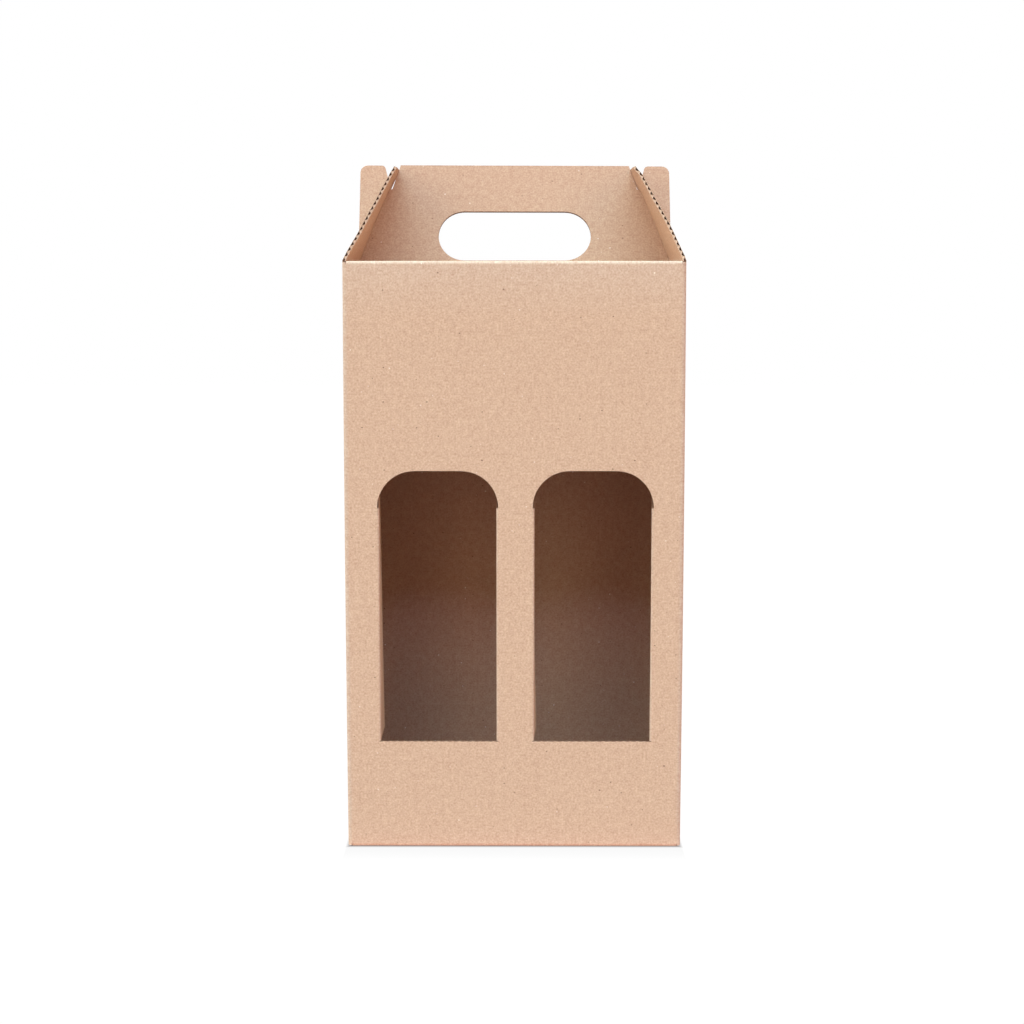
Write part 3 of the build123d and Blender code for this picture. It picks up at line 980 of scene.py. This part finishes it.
class Nodes:
    """Short calls that add shader nodes and link them."""

    def __init__(self, owner):
        owner.use_nodes = True
        self.owner = owner
        self.tree = owner.node_tree
        self.tree.nodes.clear()

    def add(self, kind, inputs=(), **settings):
        """A node with its settings; inputs are pairs of socket name and value or output."""
        node = self.tree.nodes.new(kind)
        for key, value in settings.items():
            setattr(node, key, value)
        for name, value in inputs:
            socket = node.inputs[name]
            if isinstance(value, bpy.types.NodeSocket):
                self.tree.links.new(value, socket)
            else:
                socket.default_value = (*value, 1.0) if socket.type == "RGBA" else value
        return node

    def math(self, operation, a, b=0.0, c=0.0, clamp=False):
        """A maths node's output."""
        node = self.add("ShaderNodeMath", [(0, a), (1, b), (2, c)], operation=operation, use_clamp=clamp)
        return node.outputs[0]

    def smooth(self, value, low, high):
        """0 below low, 1 above high, and a soft step between."""
        node = self.add("ShaderNodeMapRange", [("Value", value), ("From Min", low), ("From Max", high)],
                        interpolation_type="SMOOTHSTEP")
        return node.outputs[0]

    def seen(self):
        """1 for rays that show the background, 0 for those that light the object."""
        path = self.add("ShaderNodeLightPath")
        seen = self.math("ADD", path.outputs["Is Camera Ray"], path.outputs["Is Glossy Ray"])
        return self.math("ADD", seen, path.outputs["Is Transmission Ray"], clamp=True)

    def noise(self, vector, scale, detail=3.0, roughness=0.6):
        """Noise centred on zero, about one wide."""
        node = self.add("ShaderNodeTexNoise", [
            ("Vector", vector), ("Scale", scale), ("Detail", detail), ("Roughness", roughness),
        ], noise_dimensions="2D")
        return self.math("MULTIPLY_ADD", node.outputs["Fac"], 2.0, -1.0)

    def stretched(self, vector, scale, turn=0.0):
        """Coordinates scaled along two directions, after a turn in degrees."""
        turned = self.add("ShaderNodeVectorRotate", [("Vector", vector), ("Angle", radians(turn))],
                          rotation_type="Z_AXIS")
        return self.vectors("MULTIPLY", turned.outputs[0], (*scale, 1.0))

    def mix(self, share, a, b):
        """Two colours mixed."""
        node = self.add("ShaderNodeMix", [(0, share), (6, a), (7, b)], data_type="RGBA")
        return node.outputs[2]

    def vectors(self, operation, a, b):
        """A vector maths node's output."""
        return self.add("ShaderNodeVectorMath", [(0, a), (1, b)], operation=operation).outputs[0]

    def scaled(self, colour, factor):
        """A colour times a number."""
        node = self.add("ShaderNodeVectorMath", [(0, colour), ("Scale", factor)], operation="SCALE")
        return node.outputs[0]

    def flecks(self, vector, length, thickness, turn, share):
        """Sparse fibres of a length and thickness in millimetres; share of the cells hold one."""
        cells = self.stretched(vector, (FLECK_CELL / length, FLECK_CELL / thickness), turn)
        voronoi = self.add("ShaderNodeTexVoronoi", [("Vector", cells), ("Scale", 1.0)],
                           voronoi_dimensions="2D", feature="F1")
        colour = self.add("ShaderNodeSeparateColor", [(0, voronoi.outputs["Color"])])
        present = self.math("LESS_THAN", colour.outputs[0], share)
        size = self.math("MULTIPLY_ADD", colour.outputs[1], FLECK_VARIES, FLECK_LEAST)
        edge = self.math("SUBTRACT", size, voronoi.outputs["Distance"])
        mask = self.math("MULTIPLY", edge, FLECK_EDGE, clamp=True)
        return self.math("MULTIPLY", mask, present)

    def paper(self, colour, grain, varies, specular, height, strength, relief):
        """The whole material: matt paper whose roughness follows its grain, with a bump."""
        roughness = self.math("MULTIPLY_ADD", grain, varies, ROUGHNESS)
        bump = self.add("ShaderNodeBump", [
            ("Strength", strength), ("Distance", relief), ("Height", height),
        ])
        shader = self.add("ShaderNodeBsdfPrincipled", [
            ("Base Color", colour), ("Roughness", roughness), ("Normal", bump.outputs[0]),
            ("Specular IOR Level", specular),
        ])
        self.add("ShaderNodeOutputMaterial", [("Surface", shader.outputs[0])])
        return self.owner


def liner_material(name, paper):
    """Brown liner paper: fine grain, clouding, fibres, flecks, the flutes' faint stripes and worn folds,
    whose paler paper also paints part of their highlight.
    """
    n = Nodes(bpy.data.materials.new(name))
    blank = n.add("ShaderNodeUVMap", uv_map="blank").outputs[0]
    grain = n.noise(blank, GRAIN_SCALE, 2.0)
    fibre = n.noise(n.stretched(blank, FIBRE_STRETCH, FIBRE_TURN), GRAIN_SCALE)
    cloud = n.noise(blank, CLOUD_SCALE, roughness=0.55)
    patch = n.noise(blank, PATCH_SCALE, 2.0, 0.5)
    across = n.add("ShaderNodeSeparateXYZ", [(0, blank)]).outputs[0]
    stripe = n.math("COSINE", n.math("MULTIPLY", across, 2 * pi / PITCH))
    tone = n.math("MULTIPLY", grain, GRAIN_SHARE)
    shares = (FIBRE_SHARE, CLOUD_SHARE, PATCH_SHARE, STRIPE_SHARE)
    for pattern, share in zip((fibre, cloud, patch, stripe), shares):
        tone = n.math("MULTIPLY_ADD", pattern, share, tone)
    rub_and_highlight = n.add("ShaderNodeAttribute", attribute_name="rub_and_highlight").outputs["Fac"]
    # Worn folds take the paler paper, which also paints part of the folds' highlight
    worn_and_highlight = n.math("MULTIPLY", rub_and_highlight, n.math("MULTIPLY_ADD", patch, WORN_AND_HIGHLIGHT_VARIES, WORN_AND_HIGHLIGHT_SHARE), clamp=True)
    colour = n.mix(worn_and_highlight, paper, RUBBED_AND_HIGHLIGHT_COLOUR)
    for other, strength, length, thickness, share, turns in FLECKS:
        for turn in turns:
            mask = n.flecks(blank, length, thickness, turn, share)
            colour = n.mix(n.math("MULTIPLY", mask, strength), colour, other)
    colour = n.vectors("MULTIPLY", colour, n.vectors("ADD", n.scaled(GRAIN_TINT, tone), ONE))
    height = n.math("MULTIPLY_ADD", fibre, FIBRE_RELIEF, grain)
    return n.paper(colour, grain, LINER_VARIES, LINER_SPECULAR, height, LINER_BUMP, LINER_RELIEF)


def cut_material(name, paper):
    """Raw paper at a cut, or the painted shade inside the open flutes, mottled and a little rougher than
    the liners.
    """
    n = Nodes(bpy.data.materials.new(name))
    place = n.add("ShaderNodeTexCoord").outputs["Object"]
    noise = n.add("ShaderNodeTexNoise", [("Vector", place), ("Scale", CUT_GRAIN_SCALE), ("Detail", 3.0)])
    fine = noise.outputs["Fac"]
    colour = n.scaled(paper, n.math("MULTIPLY_ADD", fine, CUT_TONE_VARIES, CUT_TONE))
    return n.paper(colour, fine, CUT_VARIES, CUT_SPECULAR, fine, CUT_BUMP, CUT_RELIEF)


def floor_material():
    """White with a painted faint shadow to the camera, a soft glow to the box, and a painted contact
    shadow, dark beneath it.
    """
    n = Nodes(bpy.data.materials.new("studio_floor"))
    place = n.add("ShaderNodeTexCoord").outputs["Object"]
    x, y, _ = n.add("ShaderNodeSeparateXYZ", [(0, place)]).outputs
    across = n.math("DIVIDE", n.math("ABSOLUTE", x), MM)
    along = n.math("DIVIDE", n.math("ABSOLUTE", y), MM)

    def outside(near, far):
        """0 up to one distance from the box's walls, and 1 beyond another."""
        beside = n.smooth(across, HALF_WIDTH + near, HALF_WIDTH + min(far, SIDE_REACH))
        before = n.smooth(along, HALF_DEPTH + near, HALF_DEPTH + far)
        return n.math("MAXIMUM", beside, before)

    # Painted faint shadow and contact shadow, seen only by the camera
    lift = WHITE_LEVEL - SHADOW_LEVEL
    white = n.math("MULTIPLY_ADD", outside(0.0, SHADOW_REACH), lift, SHADOW_LEVEL)
    shaded = n.mix(outside(-CONTACT_SHADOW_REACH, CONTACT_SHADOW_REACH), CONTACT_SHADOW_COLOUR, ONE)
    colour = n.mix(n.seen(), FLOOR_LIGHT, shaded)
    foot = n.math("MULTIPLY_ADD", outside(0.0, FOOT_REACH), -FOOT_GLOW, 1.0 + FOOT_GLOW)
    strength = n.mix(n.seen(), foot, white)
    glow = n.add("ShaderNodeEmission", [("Color", colour), ("Strength", strength)])
    n.add("ShaderNodeOutputMaterial", [("Surface", glow.outputs[0])])
    return n.owner


OUTER_LINER = liner_material("kraft_outer_liner", OUTER_COLOUR)
# The inner liner's colour partly paints the shade inside the carton
INNER_LINER_AND_SHADE = liner_material("kraft_inner_liner_and_painted_shade", INNER_COLOUR_AND_SHADE)
CUT_EDGE = cut_material("kraft_cut_edge", CUT_COLOUR)
# The open flutes' insides get painted shade
FLUTE_SHADE_MATERIAL = cut_material("kraft_flute_painted_shade", FLUTE_SHADE_COLOUR)


# Pieces

def dress_carton():
    """The folded sheet, in two meshes that ride on the carton."""
    for name, board in (("carton_walls_and_top", upper_carton()), ("carton_bottom_flaps", bottom_carton())):
        piece = board_object(name, board)
        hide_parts("folded_carton")
        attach(piece, "carton")


def dress_flaps():
    """The four window flaps, each with the crease that joins it to the front wall."""
    for name, (middle, side), angle, twist in zip(FLAP_NAMES, FLAP_PLACES, FOLD_ANGLES, FLAP_TWISTS):
        body = name.replace("_window", "") + "_flap"
        crease = middle + side * (WINDOW_WIDTH / 2 - PLAY)
        piece = board_object(name + "_board", window_flap(middle, crease, side, angle, twist))
        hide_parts(name + "_flap")
        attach(piece, body)
        bend = board_object(name + "_bend", crease_strip(crease, side, angle, twist))
        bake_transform(bend)


dress_carton()
dress_flaps()


# Studio

CAMERA_PLACE = (0.00243, -0.9339, 0.27936)
CAMERA_PITCH = 6.466
CAMERA_YAW = 0.231
CAMERA_LENS = 60.70
CAMERA_SENSOR = 36.0
FLOOR_REACH = 6.0
FOOT_REACH = 10.0        # the floor sends more light up than elsewhere this near the box
FOOT_GLOW = 1.1
CONTACT_SHADOW_REACH = 2.6      # a painted contact shadow darkens the floor this far before the box touches it
SHADOW_REACH = 36.0      # a painted faint shadow in front of the box, as far as this
SHADOW_LEVEL = 0.945
SIDE_REACH = 2.0         # to the left and right of the box all of these end this near
WHITE_LEVEL = 1.03
# Colour of the painted contact shadow
CONTACT_SHADOW_COLOUR = (0.10, 0.05, 0.035)

FLOOR_LIGHT = (0.60, 0.40, 0.37)

# Where the sky's fields of light meet, in degrees round from the front and up from the floor
FRONT_NEAR = 32
FRONT_FAR = 54
STRIP_END = 60
HIGH_END = 70
BACK_EDGE = 95
BACK_END = 200
HORIZON = -2
STRIP_LOW = 40
STRIP_HIGH = 45
TOP_LOW = 65
ZENITH = 95
AROUND_SOFT = 4.0        # half the width of a field's soft edges
UPWARD_SOFT = 1.5

# Each field's red, green and blue strengths, and its span round and up
LOW = (HORIZON, STRIP_LOW)
HIGH = (STRIP_HIGH, TOP_LOW)
BACK = (HORIZON, TOP_LOW)
FIELDS = {
    "front left": ((2.7, 2.55, 2.1), (-FRONT_FAR, -FRONT_NEAR), LOW),
    "front right": ((2.25, 1.8, 1.35), (FRONT_NEAR, FRONT_FAR), LOW),
    "left": ((2.9, 2.7, 2.5), (-BACK_EDGE, -FRONT_FAR), LOW),
    "right": ((1.4, 0.5, 0.25), (FRONT_FAR, BACK_EDGE), LOW),
    "strip": ((5.4, 5.9, 9.2), (-STRIP_END, STRIP_END), (STRIP_LOW, STRIP_HIGH)),
    "high left": ((3.1, 4.4, 4.9), (-HIGH_END, 0), HIGH),
    "high right": ((2.1, 3.1, 3.7), (0, HIGH_END), HIGH),
    "top": ((3.6, 4.8, 5.3), (-BACK_END, BACK_END), (TOP_LOW, ZENITH)),
    "back left": ((1.1, 1.1, 1.1), (-BACK_END, -BACK_EDGE), BACK),
    "back right": ((0.6, 0.35, 0.25), (BACK_EDGE, BACK_END), BACK),
}


def add_floor():
    """A large plain floor under the box."""
    corners = [(x * FLOOR_REACH, y * FLOOR_REACH, 0) for x, y in ((-1, -1), (1, -1), (1, 1), (-1, 1))]
    mesh = bpy.data.meshes.new("studio_floor")
    mesh.from_pydata(corners, [], [(0, 1, 2, 3)])
    mesh.materials.append(floor_material())
    floor = bpy.data.objects.new("studio_floor", mesh)
    bpy.context.collection.objects.link(floor)


class Sky(Nodes):
    """Light that comes from soft-edged fields of the sky, by azimuth from the front and by elevation."""

    def __init__(self, world):
        super().__init__(world)
        toward = self.add("ShaderNodeTexCoord").outputs["Generated"]
        x, y, z = self.add("ShaderNodeSeparateXYZ", [(0, toward)]).outputs
        around = self.math("ARCTAN2", x, self.math("MULTIPLY", y, -1.0))
        self.azimuth = self.math("MULTIPLY", around, 180 / pi)
        self.elevation = self.math("MULTIPLY", self.math("ARCSINE", z), 180 / pi)
        self.light = (0.0, 0.0, 0.0)

    def between(self, value, low, high, soft):
        """1 between two angles and 0 beyond them."""
        rising = self.smooth(value, low - soft, low + soft)
        falling = self.smooth(value, high - soft, high + soft)
        return self.math("SUBTRACT", rising, falling)

    def field(self, colour, left, right, low, high):
        """Adds the light of one field."""
        across = self.between(self.azimuth, left, right, AROUND_SOFT)
        upward = self.between(self.elevation, low, high, UPWARD_SOFT)
        share = self.math("MULTIPLY", across, upward)
        self.light = self.vectors("ADD", self.scaled(colour, share), self.light)


def set_world():
    """The lights round the box, and white where the camera sees the background."""
    world = bpy.data.worlds.new("studio")
    bpy.context.scene.world = world
    n = Sky(world)
    for colour, span, rise in FIELDS.values():
        n.field(colour, *span, *rise)
    colour = n.mix(n.seen(), n.light, ONE)
    background = n.add("ShaderNodeBackground", [("Color", colour)])
    n.add("ShaderNodeOutputWorld", [("Surface", background.outputs[0])])


def add_camera():
    """The camera, where the walls' edges in the photograph put it."""
    camera = bpy.data.cameras.new("camera")
    camera.lens = CAMERA_LENS
    camera.sensor_width = CAMERA_SENSOR
    obj = bpy.data.objects.new("camera", camera)
    obj.location = CAMERA_PLACE
    obj.rotation_euler = (radians(90 - CAMERA_PITCH), 0, radians(CAMERA_YAW))
    bpy.context.collection.objects.link(obj)
    bpy.context.scene.camera = obj


add_floor()
set_world()
add_camera()
bpy.context.scene.view_settings.view_transform = "Standard"
